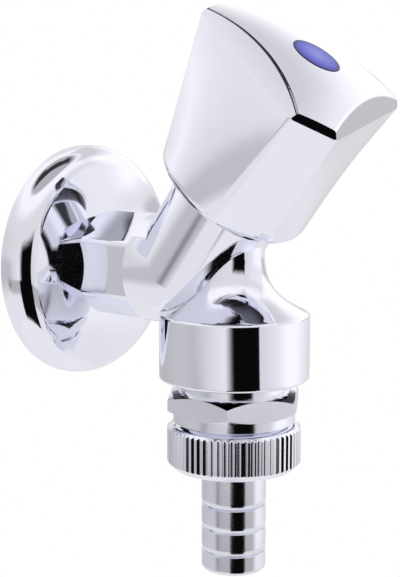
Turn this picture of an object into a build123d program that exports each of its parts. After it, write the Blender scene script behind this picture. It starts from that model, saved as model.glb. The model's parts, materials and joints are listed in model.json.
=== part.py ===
from build123d import *
from math import cos, radians, sin, tan
import os

# Wall outlet tap with a non-return valve in its outlet and a hose connector below it.
# The wall is the plane x = 0, the inlet lies along +X and +Z is up.
# Three axes meet in the plane y = 0: the inlet, the inclined headwork and the upright outlet.

# Fits
SEAT_GAP = 0.05
RUNNING_GAP = 0.05
SLIDING_GAP = 0.10
THREAD_GAP = 0.05
LOOSE_GAP = 0.50

# Inlet: G 1/2 wall thread, then a hexagon turned down to a round
WALL_THREAD_R = 10.4775
WALL_THREAD_LENGTH = 12.0
WALL_THREAD_FRONT = 6.0
WALL_RELIEF_R = 9.6
INLET_START = 9.4
INLET_R = 12.3
INLET_FLATS = 22.1
INLET_FLAT_LENGTH = 13.9
INLET_BORE_R = 6.0
INLET_BORE_STOP = 4.3

# Wall rosette
ROSETTE_R = 27.1
ROSETTE_DOME_R = 80.0
ROSETTE_EDGE = 6.0
ROSETTE_WALL = 1.2
ROSETTE_HOLE_GAP = 0.4

# Inclined headwork tube and valve seat, measured along the headwork axis from the inlet axis
HEAD_X = 31.95
HEAD_TILT = 54.28
TUBE_R = 12.4
TUBE_LENGTH = 27.3
CHAMBER_R = 9.0
SEAT_LEVEL = 6.3
SEAT_LIP = 2.0
SEAT_BORE_R = 5.0
SEAT_BORE_DEPTH = 14.5
SEAT_WALL = 1.9

# Outlet neck and cup
OUTLET_X = 45.32
NECK_R = 6.6
NECK_TOP = 10.0
FLARE_TOP = 5.0
FLARE_REACH = 8.0
FLARE_RUN = 5.3
FLARE_RISE = 2.7
CUP_R = 16.71
CUP_TOP = -8.2
CUP_HEIGHT = 14.78
CUP_EDGE = 0.7
CUP_ROOF = 3.4
OUTLET_BORE_R = 3.8
OUTLET_BORE_TOP = 9.0

# Headwork: bonnet, spindle and plunger
BONNET_THREAD_R = 10.0
BONNET_THREAD_LENGTH = 9.5
BONNET_FLATS = 21.0
BONNET_HEX_HEIGHT = 5.0
BONNET_NECK_R = 7.0
BONNET_NECK_LENGTH = 9.3
GASKET_THICKNESS = 1.0
SPINDLE_R = 4.0
SPINDLE_THREAD_R = 3.5
SPINDLE_THREAD_LENGTH = 12.0
SPINDLE_FLANGE_R = 4.5
SPINDLE_FLANGE = 1.6
SPLINE_R = 3.7
SPLINE_LENGTH = 6.0
SPLINE_COUNT = 20
SPLINE_DEPTH = 0.35
STEM_RING_WIRE = 1.2
CLIP_THICKNESS = 0.8
CLIP_GROOVE = 0.5
CLIP_WIDTH = 1.9
PLUNGER_SIDE = 9.0
PLUNGER_FLANGE_R = 7.6
PLUNGER_FLANGE = 2.0
PLUNGER_SHANK = 14.0
PLUNGER_FLOOR = 1.5
WASHER_R = 7.2
WASHER_THICKNESS = 3.0
WASHER_SCREW_R = 1.5
WASHER_SCREW_HEAD_R = 3.0
WASHER_SCREW_HEAD = 1.4
WASHER_SCREW_LENGTH = 6.5

# Handle, measured along the headwork axis
HANDLE_COVER = 6.2
HANDLE_HEIGHT = 32.2
HANDLE_RIM_R = 17.3
HANDLE_RIM_ROUND = 2.9
HANDLE_CORNER = 24.73
HANDLE_CORNER_HALF = 5.23
HANDLE_CORNER_ROUND = 1.2
HANDLE_ANGLE = -45.4
RIM_CORNER = 15.0
RIM_ROUND = 9.0
RIM_FLAT = 1.03
HANDLE_WALL = 2.0
HANDLE_TOP_WALL = 2.4
DOME_RISE = 5.43
DOME_R = 80.0
BEVEL_LEAN = 36.0
CRESCENT_ROUND = 1.2
CORNER_LEAN = 20.0
BOSS_R = 7.0
CAP_R = 5.5
CAP_THICKNESS = 2.6
CAP_PROUD = 0.1
HANDLE_SCREW_R = 1.95
HANDLE_SCREW_LENGTH = 9.0
HANDLE_SCREW_HEAD_R = 3.6
HANDLE_SCREW_HEAD = 2.2
HANDLE_WEB = 2.8

# Non-return valve cartridge in the cup
CAGE_R = 10.4
CAGE_FLANGE = 1.5
CAGE_LENGTH = 17.6
CAGE_SEAT_R = 5.2
CAGE_SEAT_LENGTH = 3.4
CAGE_CONE = 2.0
CAGE_CHAMBER_R = 7.9
CAGE_RING_WIRE = 1.6
CAGE_RING_DROP = 7.0
GUIDE_HEIGHT = 2.0
GUIDE_RING = 1.2
GUIDE_HUB_R = 3.4
GUIDE_ARM = 2.0
GUIDE_ARMS = 4
POPPET_R = 6.8
POPPET_DISC = 1.5
POPPET_HUB_R = 4.1
POPPET_CAP_R = 4.8
POPPET_CAP = 1.2
POPPET_NOSE_R = 2.5
POPPET_NOSE = 1.2
POPPET_STEM_R = 2.0
POPPET_TAIL = 1.5
SEAL_THICKNESS = 1.5
SEAL_CHAMFER = 0.4
SEAL_DROP = 1.0
SPRING_COIL_R = 4.9
SPRING_WIRE_R = 0.4
SPRING_COILS = 4

# Outlet nipple: G 3/4 thread above and below a hexagon
NIPPLE_THREAD_R = 13.22
NIPPLE_NECK_R = 12.3
NIPPLE_NECK = 2.6
NIPPLE_FLATS = 27.8
NIPPLE_HEX_HEIGHT = 4.8
NIPPLE_HEX_ANGLE = 1.1
NIPPLE_HEX_LEAN = 30.0
NIPPLE_COLLAR_R = 13.6
NIPPLE_COLLAR = 2.1
NIPPLE_TAIL = 6.2
NIPPLE_BORE_R = 8.0
NIPPLE_RING_WIRE = 1.4

# Union nut and hose tail
NUT_R = 15.0
NUT_HEIGHT = 9.7
NUT_LIP = 1.25
NUT_GROOVES = 62
NUT_GROOVE = 0.6
NUT_TOP_CHAMFER = 0.7
NUT_FOOT_CHAMFER = 1.5
TAIL_FLANGE_R = 12.9
TAIL_FLANGE = 1.6
TAIL_GASKET = 1.5
TAIL_GASKET_HOLE_R = 8.5
TAIL_R = 7.25
TAIL_ROOT_R = 6.95
TAIL_BORE_R = 5.0
TAIL_NECK = 10.0
TAIL_BARBS = 3
TAIL_BARB_PITCH = 5.33
TAIL_BARB_LAND = 2.9
TAIL_LAST_BARB = 4.4
TAIL_END_ROUND = 0.9

# Directions and planes. Profiles on HEAD and OUTLET are drawn as (radius, height along the axis).
tilt = radians(HEAD_TILT)
head_up = Vector(cos(tilt), 0, sin(tilt))
head_down = Vector(sin(tilt), 0, -cos(tilt))
HEAD = Plane(origin=(HEAD_X, 0, 0), x_dir=head_down, z_dir=(0, -1, 0))
HEAD_CROSS = Plane(origin=(HEAD_X, 0, 0), x_dir=head_down, z_dir=head_up)
HEAD_AXIS = Axis((HEAD_X, 0, 0), head_up)
OUTLET = Plane(origin=(OUTLET_X, 0, 0), x_dir=(1, 0, 0), z_dir=(0, -1, 0))
OUTLET_CROSS = Plane(origin=(OUTLET_X, 0, 0))
OUTLET_AXIS = Axis((OUTLET_X, 0, 0), (0, 0, 1))

# Heights along the headwork axis, worked up from the seat
washer_bottom = SEAT_LEVEL + SEAT_GAP
washer_top = washer_bottom + WASHER_THICKNESS
plunger_flange_top = washer_top + PLUNGER_FLANGE
plunger_top = plunger_flange_top + PLUNGER_SHANK
plunger_bore_floor = washer_top + WASHER_SCREW_LENGTH - WASHER_THICKNESS + PLUNGER_FLOOR
bonnet_bottom = TUBE_LENGTH - BONNET_THREAD_LENGTH
bonnet_hex_bottom = TUBE_LENGTH + GASKET_THICKNESS
bonnet_hex_top = bonnet_hex_bottom + BONNET_HEX_HEIGHT
bonnet_top = bonnet_hex_top + BONNET_NECK_LENGTH
spindle_flange_top = bonnet_hex_top - SEAT_GAP
spindle_flange_bottom = spindle_flange_top - SPINDLE_FLANGE
spindle_bottom = spindle_flange_bottom - SPINDLE_THREAD_LENGTH
clip_bottom = bonnet_top + SEAT_GAP
clip_top = clip_bottom + CLIP_THICKNESS
boss_bottom = clip_top + LOOSE_GAP
spindle_top = boss_bottom + SPLINE_LENGTH
stem_ring_middle = (bonnet_hex_top + bonnet_top) / 2

# Heights of the handle's top
handle_rim = TUBE_LENGTH - HANDLE_COVER
handle_shoulder = handle_rim + HANDLE_HEIGHT
dome_top = handle_shoulder + DOME_RISE
cap_seat = dome_top - CAP_THICKNESS
handle_socket_top = spindle_top + LOOSE_GAP
handle_screw_seat = handle_socket_top + HANDLE_WEB
long_side = HANDLE_CORNER * cos(radians(60)) + HANDLE_CORNER_HALF * sin(radians(60))
bevel = radians(BEVEL_LEAN)

# Heights along the outlet axis, worked down from the cup
cup_bottom = CUP_TOP - CUP_HEIGHT
cup_ceiling = CUP_TOP - CUP_ROOF
cage_flange_bottom = cup_ceiling - CAGE_FLANGE
nipple_top = cage_flange_bottom - GASKET_THICKNESS
cage_bottom = cup_ceiling - CAGE_LENGTH
cage_seat = cup_ceiling - CAGE_SEAT_LENGTH
cage_cone_bottom = cage_seat - CAGE_CONE
guide_top = cage_bottom + GUIDE_HEIGHT
seal_top = cage_seat - SEAL_DROP
seal_bottom = seal_top - SEAL_THICKNESS
poppet_disc_bottom = seal_bottom - POPPET_DISC
nipple_hex_top = cup_bottom - NIPPLE_NECK
nipple_hex_bottom = nipple_hex_top - NIPPLE_HEX_HEIGHT
nipple_collar_bottom = nipple_hex_bottom - NIPPLE_COLLAR
nipple_bottom = nipple_collar_bottom - NIPPLE_TAIL
tail_flange_top = nipple_bottom - SEAT_GAP - TAIL_GASKET
tail_flange_bottom = tail_flange_top - TAIL_FLANGE
nut_lip_top = tail_flange_bottom - SEAT_GAP
nut_bottom = nut_lip_top - NUT_LIP
nut_top = nut_bottom + NUT_HEIGHT
tail_neck_bottom = tail_flange_bottom - TAIL_NECK
tail_end = tail_neck_bottom - (TAIL_BARBS - 1) * TAIL_BARB_PITCH - TAIL_LAST_BARB

os.makedirs("parts", exist_ok=True)

# Wall rosette: a plated shell with a shallow dome, a rounded edge and a flat seat round its hole
dome_x = INLET_START - (ROSETTE_DOME_R**2 - INLET_R**2) ** 0.5
rosette_edge_x = dome_x + (ROSETTE_DOME_R**2 - ROSETTE_R**2) ** 0.5
inner_dome_r = ROSETTE_DOME_R - ROSETTE_WALL
inner_r = ROSETTE_R - ROSETTE_WALL
inner_edge_x = dome_x + (inner_dome_r**2 - inner_r**2) ** 0.5
with BuildPart() as wall_rosette:
    with BuildSketch(Plane.XZ) as section:
        with BuildLine():
            Polyline((dome_x + ROSETTE_DOME_R, 0), (0, 0), (0, ROSETTE_R), (rosette_edge_x, ROSETTE_R))
            RadiusArc((rosette_edge_x, ROSETTE_R), (dome_x + ROSETTE_DOME_R, 0), ROSETTE_DOME_R)
        make_face()
        fillet(section.vertices().sort_by_distance((rosette_edge_x, ROSETTE_R))[0], ROSETTE_EDGE)
    revolve(axis=Axis.X)
    with BuildSketch(Plane.XZ) as hollow:
        with BuildLine():
            Polyline((dome_x + inner_dome_r, 0), (0, 0), (0, inner_r), (inner_edge_x, inner_r))
            RadiusArc((inner_edge_x, inner_r), (dome_x + inner_dome_r, 0), inner_dome_r)
        make_face()
        fillet(hollow.vertices().sort_by_distance((inner_edge_x, inner_r))[0], ROSETTE_EDGE - ROSETTE_WALL)
    revolve(axis=Axis.X, mode=Mode.SUBTRACT)
    with BuildSketch(Plane.YZ.offset(INLET_START)):
        Circle(INLET_R)
    extrude(amount=ROSETTE_R, mode=Mode.SUBTRACT)
    with BuildSketch(Plane.YZ):
        Circle(WALL_THREAD_R + ROSETTE_HOLE_GAP)
    extrude(amount=2 * INLET_START, mode=Mode.SUBTRACT)
wall_rosette.part.label = "wall_rosette"
export_step(wall_rosette.part, "parts/wall_rosette.step")

# Valve body: one forging with the wall thread, the inlet, the headwork tube, the neck and the cup
with BuildPart() as valve_body:
    with BuildSketch(Plane.YZ.offset(-WALL_THREAD_LENGTH)):
        Circle(WALL_THREAD_R)
    extrude(amount=WALL_THREAD_LENGTH + WALL_THREAD_FRONT)
    with BuildSketch(Plane.YZ.offset(WALL_THREAD_FRONT)):
        Circle(WALL_RELIEF_R)
    extrude(amount=INLET_START - WALL_THREAD_FRONT)
    with BuildSketch(Plane.YZ.offset(INLET_START)):
        Circle(INLET_R)
        RegularPolygon(INLET_FLATS / 2, 6, major_radius=False, rotation=30, mode=Mode.INTERSECT)
    extrude(amount=INLET_FLAT_LENGTH)
    with BuildSketch(Plane.YZ.offset(INLET_START + INLET_FLAT_LENGTH)):
        Circle(TUBE_R)
    extrude(amount=HEAD_X - INLET_START - INLET_FLAT_LENGTH)
    with Locations((HEAD_X, 0, 0)):
        Sphere(TUBE_R)
    with BuildSketch(HEAD_CROSS):
        Circle(TUBE_R)
    extrude(amount=TUBE_LENGTH)
    with BuildSketch(OUTLET):
        with BuildLine():
            Polyline((NECK_R, FLARE_TOP), (NECK_R, NECK_TOP), (0, NECK_TOP), (0, cup_bottom))
            Line((0, cup_bottom), (CUP_R - CUP_EDGE, cup_bottom))
            CenterArc((CUP_R - CUP_EDGE, cup_bottom + CUP_EDGE), CUP_EDGE, -90, 90)
            Line((CUP_R, cup_bottom + CUP_EDGE), (CUP_R, CUP_TOP - CUP_EDGE))
            CenterArc((CUP_R - CUP_EDGE, CUP_TOP - CUP_EDGE), CUP_EDGE, 0, 90)
            Bezier(
                (CUP_R - CUP_EDGE, CUP_TOP),
                (CUP_R - CUP_EDGE - FLARE_RUN, CUP_TOP + FLARE_RISE),
                (NECK_R, FLARE_TOP - FLARE_REACH),
                (NECK_R, FLARE_TOP),
            )
        make_face()
    revolve(axis=OUTLET_AXIS)
    # Inlet waterway, seat and headwork chamber
    with BuildSketch(Plane.YZ.offset(-WALL_THREAD_LENGTH)):
        Circle(INLET_BORE_R)
    extrude(amount=WALL_THREAD_LENGTH + HEAD_X - INLET_BORE_STOP, mode=Mode.SUBTRACT)
    with BuildSketch(HEAD):
        with BuildLine():
            Polyline(
                (0, SEAT_LEVEL - SEAT_BORE_DEPTH),
                (SEAT_BORE_R, SEAT_LEVEL - SEAT_BORE_DEPTH),
                (SEAT_BORE_R, SEAT_LEVEL),
                (SEAT_BORE_R + SEAT_WALL, SEAT_LEVEL),
                (SEAT_BORE_R + SEAT_WALL, SEAT_LEVEL - SEAT_LIP),
                (CHAMBER_R, SEAT_LEVEL - SEAT_LIP),
                (CHAMBER_R, bonnet_bottom),
                (BONNET_THREAD_R, bonnet_bottom),
                (BONNET_THREAD_R, TUBE_LENGTH),
                (0, TUBE_LENGTH),
                close=True,
            )
        make_face()
    revolve(axis=HEAD_AXIS, mode=Mode.SUBTRACT)
    # Outlet waterway and the threaded cup
    with BuildSketch(OUTLET_CROSS.offset(cup_bottom)):
        Circle(OUTLET_BORE_R)
    extrude(amount=OUTLET_BORE_TOP - cup_bottom, mode=Mode.SUBTRACT)
    with BuildSketch(OUTLET_CROSS.offset(cup_bottom)):
        Circle(NIPPLE_THREAD_R + THREAD_GAP)
    extrude(amount=cup_ceiling - cup_bottom, mode=Mode.SUBTRACT)
valve_body.part.label = "valve_body"
export_step(valve_body.part, "parts/valve_body.step")

# Bonnet: screws into the tube, guides the square plunger and carries the spindle
with BuildPart() as bonnet:
    with BuildSketch(HEAD_CROSS.offset(bonnet_bottom)):
        Circle(BONNET_THREAD_R - THREAD_GAP)
    extrude(amount=bonnet_hex_bottom - bonnet_bottom)
    with BuildSketch(HEAD_CROSS.offset(bonnet_hex_bottom)):
        RegularPolygon(BONNET_FLATS / 2, 6, major_radius=False)
    extrude(amount=BONNET_HEX_HEIGHT)
    with BuildSketch(HEAD_CROSS.offset(bonnet_hex_top)):
        Circle(BONNET_NECK_R)
    extrude(amount=BONNET_NECK_LENGTH)
    with BuildSketch(HEAD_CROSS.offset(bonnet_bottom)):
        Rectangle(PLUNGER_SIDE + 2 * SLIDING_GAP, PLUNGER_SIDE + 2 * SLIDING_GAP)
    extrude(amount=spindle_flange_bottom - SEAT_GAP - bonnet_bottom, mode=Mode.SUBTRACT)
    with BuildSketch(HEAD_CROSS.offset(bonnet_bottom)):
        Circle(SPINDLE_FLANGE_R + RUNNING_GAP)
    extrude(amount=bonnet_hex_top - bonnet_bottom, mode=Mode.SUBTRACT)
    with BuildSketch(HEAD_CROSS.offset(bonnet_hex_top)):
        Circle(SPINDLE_R + RUNNING_GAP)
    extrude(amount=BONNET_NECK_LENGTH, mode=Mode.SUBTRACT)
bonnet.part.label = "bonnet"
export_step(bonnet.part, "parts/bonnet.step")

# Flat ring between the tube's end and the bonnet's hexagon
with BuildPart() as bonnet_gasket:
    with BuildSketch(HEAD_CROSS.offset(TUBE_LENGTH)):
        Circle(BONNET_FLATS / 2)
        Circle(BONNET_THREAD_R, mode=Mode.SUBTRACT)
    extrude(amount=GASKET_THICKNESS)
bonnet_gasket.part.label = "bonnet_gasket"
export_step(bonnet_gasket.part, "parts/bonnet_gasket.step")

# Spindle: lifting thread, thrust flange, sealed stem, clip groove and a splined end
stem_groove_r = SPINDLE_R - STEM_RING_WIRE
clip_groove_r = SPINDLE_R - CLIP_GROOVE
with BuildPart() as spindle:
    with BuildSketch(HEAD):
        with BuildLine():
            Polyline(
                (0, spindle_bottom),
                (SPINDLE_THREAD_R, spindle_bottom),
                (SPINDLE_THREAD_R, spindle_flange_bottom),
                (SPINDLE_FLANGE_R, spindle_flange_bottom),
                (SPINDLE_FLANGE_R, spindle_flange_top),
                (SPINDLE_R, spindle_flange_top),
                (SPINDLE_R, stem_ring_middle - STEM_RING_WIRE / 2),
                (stem_groove_r, stem_ring_middle - STEM_RING_WIRE / 2),
                (stem_groove_r, stem_ring_middle + STEM_RING_WIRE / 2),
                (SPINDLE_R, stem_ring_middle + STEM_RING_WIRE / 2),
                (SPINDLE_R, clip_bottom),
                (clip_groove_r, clip_bottom),
                (clip_groove_r, clip_top),
                (SPINDLE_R, clip_top),
                (SPINDLE_R, boss_bottom),
                (SPLINE_R, boss_bottom),
                (SPLINE_R, spindle_top),
                (0, spindle_top),
                close=True,
            )
        make_face()
    revolve(axis=HEAD_AXIS)
    with BuildSketch(HEAD_CROSS.offset(boss_bottom)):
        with PolarLocations(SPLINE_R, SPLINE_COUNT):
            RegularPolygon(SPLINE_DEPTH, 4)
    extrude(amount=SPLINE_LENGTH, mode=Mode.SUBTRACT)
    with BuildSketch(HEAD_CROSS.offset(handle_screw_seat - HANDLE_SCREW_LENGTH - LOOSE_GAP)):
        Circle(HANDLE_SCREW_R + THREAD_GAP)
    extrude(amount=HANDLE_SCREW_LENGTH, mode=Mode.SUBTRACT)
spindle.part.label = "spindle"
export_step(spindle.part, "parts/spindle.step")

# Stem seal in the spindle's groove
with BuildPart() as spindle_o_ring:
    with BuildSketch(HEAD):
        with Locations((SPINDLE_R + RUNNING_GAP / 2 - STEM_RING_WIRE / 2, stem_ring_middle)):
            Circle(STEM_RING_WIRE / 2)
    revolve(axis=HEAD_AXIS)
spindle_o_ring.part.label = "spindle_o_ring"
export_step(spindle_o_ring.part, "parts/spindle_o_ring.step")

# Open snap ring above the bonnet
with BuildPart() as spindle_clip:
    with BuildSketch(HEAD_CROSS.offset(clip_bottom)):
        Circle(clip_groove_r + CLIP_WIDTH)
        Circle(clip_groove_r, mode=Mode.SUBTRACT)
        with Locations((-clip_groove_r - CLIP_WIDTH / 2, 0)):
            Rectangle(2 * CLIP_WIDTH, 2 * clip_groove_r * sin(radians(30)), mode=Mode.SUBTRACT)
    extrude(amount=CLIP_THICKNESS)
spindle_clip.part.label = "spindle_clip"
export_step(spindle_clip.part, "parts/spindle_clip.step")

# Plunger: a square shank with an inner thread above a washer flange
with BuildPart() as plunger:
    with BuildSketch(HEAD_CROSS.offset(washer_top)):
        Circle(PLUNGER_FLANGE_R)
    extrude(amount=PLUNGER_FLANGE)
    with BuildSketch(HEAD_CROSS.offset(plunger_flange_top)):
        Rectangle(PLUNGER_SIDE, PLUNGER_SIDE)
    extrude(amount=PLUNGER_SHANK)
    with BuildSketch(HEAD_CROSS.offset(plunger_bore_floor)):
        Circle(SPINDLE_THREAD_R + THREAD_GAP)
    extrude(amount=plunger_top - plunger_bore_floor, mode=Mode.SUBTRACT)
    with BuildSketch(HEAD_CROSS.offset(washer_top)):
        Circle(WASHER_SCREW_R + THREAD_GAP)
    extrude(amount=WASHER_SCREW_LENGTH - WASHER_THICKNESS + SEAT_GAP, mode=Mode.SUBTRACT)
plunger.part.label = "plunger"
export_step(plunger.part, "parts/plunger.step")

# Rubber disc that closes the seat
with BuildPart() as seat_washer:
    with BuildSketch(HEAD_CROSS.offset(washer_bottom)):
        Circle(WASHER_R)
        Circle(WASHER_SCREW_R + THREAD_GAP, mode=Mode.SUBTRACT)
    extrude(amount=WASHER_THICKNESS)
seat_washer.part.label = "seat_washer"
export_step(seat_washer.part, "parts/seat_washer.step")

# Screw that holds the rubber disc
with BuildPart() as washer_screw:
    with BuildSketch(HEAD_CROSS.offset(washer_bottom)):
        Circle(WASHER_SCREW_R)
    extrude(amount=WASHER_SCREW_LENGTH)
    with BuildSketch(HEAD_CROSS.offset(washer_bottom - WASHER_SCREW_HEAD)):
        Circle(WASHER_SCREW_HEAD_R)
    extrude(amount=WASHER_SCREW_HEAD)
washer_screw.part.label = "washer_screw"
export_step(washer_screw.part, "parts/washer_screw.step")


# The handle's two sections share one set of corners: a nearly round rim, flattened a little under
# the long sides, and a triangle with cut-off corners
def rim_section(radius):
    def on_rim(angle):
        return Vector(radius, 0).rotate(Axis.Z, HANDLE_ANGLE + angle)

    for corner in range(3):
        side_start = 120 * corner + RIM_CORNER + RIM_ROUND
        side_end = 120 * corner + 120 - RIM_CORNER - RIM_ROUND
        RadiusArc(on_rim(120 * corner - RIM_CORNER), on_rim(120 * corner + RIM_CORNER), -radius / RIM_FLAT)
        RadiusArc(on_rim(120 * corner + RIM_CORNER), on_rim(side_start), -radius)
        RadiusArc(on_rim(side_start), on_rim(side_end), -radius * RIM_FLAT)
        RadiusArc(on_rim(side_end), on_rim(side_end + RIM_ROUND), -radius)


def shoulder_section(corner_distance, half_side):
    points = []
    for corner in range(3):
        toward = Vector(corner_distance, 0).rotate(Axis.Z, HANDLE_ANGLE + 120 * corner)
        across = Vector(0, half_side).rotate(Axis.Z, HANDLE_ANGLE + 120 * corner)
        points.append(toward - across)
        points.append(toward + across)
    Polyline(*points, close=True)


# A wall measured square to the long sides shortens a corner's short side by this much
corner_shrink = HANDLE_WALL * (1 - cos(radians(60))) / sin(radians(60))

# Handle: a three-cornered hollow cap with a domed top, crescent bevels and a splined boss
with BuildPart() as handle:
    with BuildSketch(HEAD_CROSS.offset(handle_rim)):
        with BuildLine():
            rim_section(HANDLE_RIM_R)
        make_face()
    with BuildSketch(HEAD_CROSS.offset(handle_shoulder)) as shoulder:
        with BuildLine():
            shoulder_section(HANDLE_CORNER, HANDLE_CORNER_HALF)
        make_face()
        fillet(shoulder.vertices(), HANDLE_CORNER_ROUND)
    loft(ruled=True)
    fillet(handle.faces().sort_by(HEAD_AXIS)[0].edges(), HANDLE_RIM_ROUND)
    extrude(handle.faces().sort_by(HEAD_AXIS)[-1], amount=DOME_RISE)
    for side in range(3):
        outward = head_down.rotate(HEAD_AXIS, HANDLE_ANGLE + 60 + 120 * side)
        edge = HEAD_CROSS.origin + head_up * handle_shoulder + outward * long_side
        lean = outward * cos(bevel) + head_up * sin(bevel)
        split(bisect_by=Plane(origin=edge, z_dir=lean), keep=Keep.BOTTOM)
    for corner in range(3):
        outward = head_down.rotate(HEAD_AXIS, HANDLE_ANGLE + 120 * corner)
        edge = HEAD_CROSS.origin + head_up * handle_shoulder + outward * HANDLE_CORNER
        lean = outward * cos(radians(CORNER_LEAN)) + head_up * sin(radians(CORNER_LEAN))
        split(bisect_by=Plane(origin=edge, z_dir=lean), keep=Keep.BOTTOM)
    with Locations(HEAD_CROSS.origin + head_up * (dome_top - DOME_R)):
        Sphere(DOME_R, mode=Mode.INTERSECT)
    dome_edges = handle.faces().sort_by(HEAD_AXIS)[-1].edges().sort_by(SortBy.LENGTH)
    fillet(dome_edges[-3:], CRESCENT_ROUND)
    # Hollow inside with a central boss
    with BuildSketch(HEAD_CROSS.offset(handle_rim)):
        with BuildLine():
            rim_section(HANDLE_RIM_R - HANDLE_WALL)
        make_face()
    with BuildSketch(HEAD_CROSS.offset(handle_shoulder - HANDLE_TOP_WALL)) as ceiling:
        with BuildLine():
            shoulder_section(HANDLE_CORNER - HANDLE_WALL, HANDLE_CORNER_HALF - corner_shrink)
        make_face()
        fillet(ceiling.vertices(), HANDLE_CORNER_ROUND)
    loft(ruled=True, mode=Mode.SUBTRACT)
    with BuildSketch(HEAD_CROSS.offset(boss_bottom)):
        Circle(BOSS_R)
    extrude(amount=handle_screw_seat - boss_bottom)
    with BuildSketch(HEAD_CROSS.offset(boss_bottom)):
        Circle(SPLINE_R + RUNNING_GAP)
    extrude(amount=handle_socket_top - boss_bottom, mode=Mode.SUBTRACT)
    with BuildSketch(HEAD_CROSS.offset(handle_socket_top)):
        Circle(HANDLE_SCREW_R + SLIDING_GAP)
    extrude(amount=HANDLE_WEB, mode=Mode.SUBTRACT)
    with BuildSketch(HEAD_CROSS.offset(handle_screw_seat)):
        Circle(HANDLE_SCREW_HEAD_R + LOOSE_GAP)
    extrude(amount=cap_seat - handle_screw_seat, mode=Mode.SUBTRACT)
    with BuildSketch(HEAD_CROSS.offset(cap_seat)):
        Circle(CAP_R + RUNNING_GAP)
    extrude(amount=CAP_THICKNESS, mode=Mode.SUBTRACT)
handle.part.label = "handle"
export_step(handle.part, "parts/handle.step")

# Blue button that covers the handle screw and follows the dome
with BuildPart() as index_cap:
    with BuildSketch(HEAD_CROSS.offset(cap_seat)):
        Circle(CAP_R)
    extrude(amount=CAP_THICKNESS + CAP_PROUD)
    with Locations(HEAD_CROSS.origin + head_up * (dome_top - DOME_R + CAP_PROUD)):
        Sphere(DOME_R, mode=Mode.INTERSECT)
index_cap.part.label = "index_cap"
export_step(index_cap.part, "parts/index_cap.step")

# Screw that clamps the handle on the spindle
with BuildPart() as handle_screw:
    with BuildSketch(HEAD_CROSS.offset(handle_screw_seat)):
        Circle(HANDLE_SCREW_HEAD_R)
    extrude(amount=HANDLE_SCREW_HEAD)
    with BuildSketch(HEAD_CROSS.offset(handle_screw_seat - HANDLE_SCREW_LENGTH)):
        Circle(HANDLE_SCREW_R)
    extrude(amount=HANDLE_SCREW_LENGTH)
    with BuildSketch(HEAD_CROSS.offset(handle_screw_seat + HANDLE_SCREW_HEAD / 2)):
        Rectangle(HANDLE_SCREW_HEAD_R / 4, 2 * HANDLE_SCREW_HEAD_R)
        Rectangle(2 * HANDLE_SCREW_HEAD_R / 2, HANDLE_SCREW_HEAD_R / 4)
    extrude(amount=HANDLE_SCREW_HEAD / 2, mode=Mode.SUBTRACT)
handle_screw.part.label = "handle_screw"
export_step(handle_screw.part, "parts/handle_screw.step")

# Cage of the non-return valve: flange, conical seat and a spring chamber
cage_ring_middle = cup_ceiling - CAGE_RING_DROP
cage_groove_r = CAGE_R - CAGE_RING_WIRE
with BuildPart() as check_cage:
    with BuildSketch(OUTLET):
        with BuildLine():
            Polyline(
                (CAGE_SEAT_R, cup_ceiling),
                (NIPPLE_THREAD_R - LOOSE_GAP, cup_ceiling),
                (NIPPLE_THREAD_R - LOOSE_GAP, cage_flange_bottom),
                (CAGE_R, cage_flange_bottom),
                (CAGE_R, cage_ring_middle + CAGE_RING_WIRE / 2),
                (cage_groove_r, cage_ring_middle + CAGE_RING_WIRE / 2),
                (cage_groove_r, cage_ring_middle - CAGE_RING_WIRE / 2),
                (CAGE_R, cage_ring_middle - CAGE_RING_WIRE / 2),
                (CAGE_R, cage_bottom),
                (CAGE_CHAMBER_R, cage_bottom),
                (CAGE_CHAMBER_R, cage_cone_bottom),
                (CAGE_SEAT_R, cage_seat),
                close=True,
            )
        make_face()
    revolve(axis=OUTLET_AXIS)
check_cage.part.label = "check_cage"
export_step(check_cage.part, "parts/check_cage.step")

# Seal between the cage and the nipple's bore
with BuildPart() as cage_o_ring:
    with BuildSketch(OUTLET):
        with Locations((CAGE_R + RUNNING_GAP / 2 - CAGE_RING_WIRE / 2, cage_ring_middle)):
            Circle(CAGE_RING_WIRE / 2)
    revolve(axis=OUTLET_AXIS)
cage_o_ring.part.label = "cage_o_ring"
export_step(cage_o_ring.part, "parts/cage_o_ring.step")

# Flat ring between the cage's flange and the nipple
with BuildPart() as flange_gasket:
    with BuildSketch(OUTLET_CROSS.offset(nipple_top)):
        Circle(NIPPLE_THREAD_R - LOOSE_GAP)
        Circle(CAGE_R + SLIDING_GAP, mode=Mode.SUBTRACT)
    extrude(amount=GASKET_THICKNESS)
flange_gasket.part.label = "flange_gasket"
export_step(flange_gasket.part, "parts/flange_gasket.step")

# Spider that guides the poppet's stem and carries the spring
with BuildPart() as cage_guide:
    with BuildSketch(OUTLET_CROSS.offset(cage_bottom)):
        Circle(CAGE_CHAMBER_R)
        Circle(CAGE_CHAMBER_R - GUIDE_RING, mode=Mode.SUBTRACT)
        with PolarLocations((CAGE_CHAMBER_R - GUIDE_RING / 2) / 2, GUIDE_ARMS):
            Rectangle(CAGE_CHAMBER_R - GUIDE_RING / 2, GUIDE_ARM)
        Circle(GUIDE_HUB_R)
        Circle(POPPET_STEM_R + RUNNING_GAP, mode=Mode.SUBTRACT)
    extrude(amount=GUIDE_HEIGHT)
cage_guide.part.label = "cage_guide"
export_step(cage_guide.part, "parts/cage_guide.step")

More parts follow.
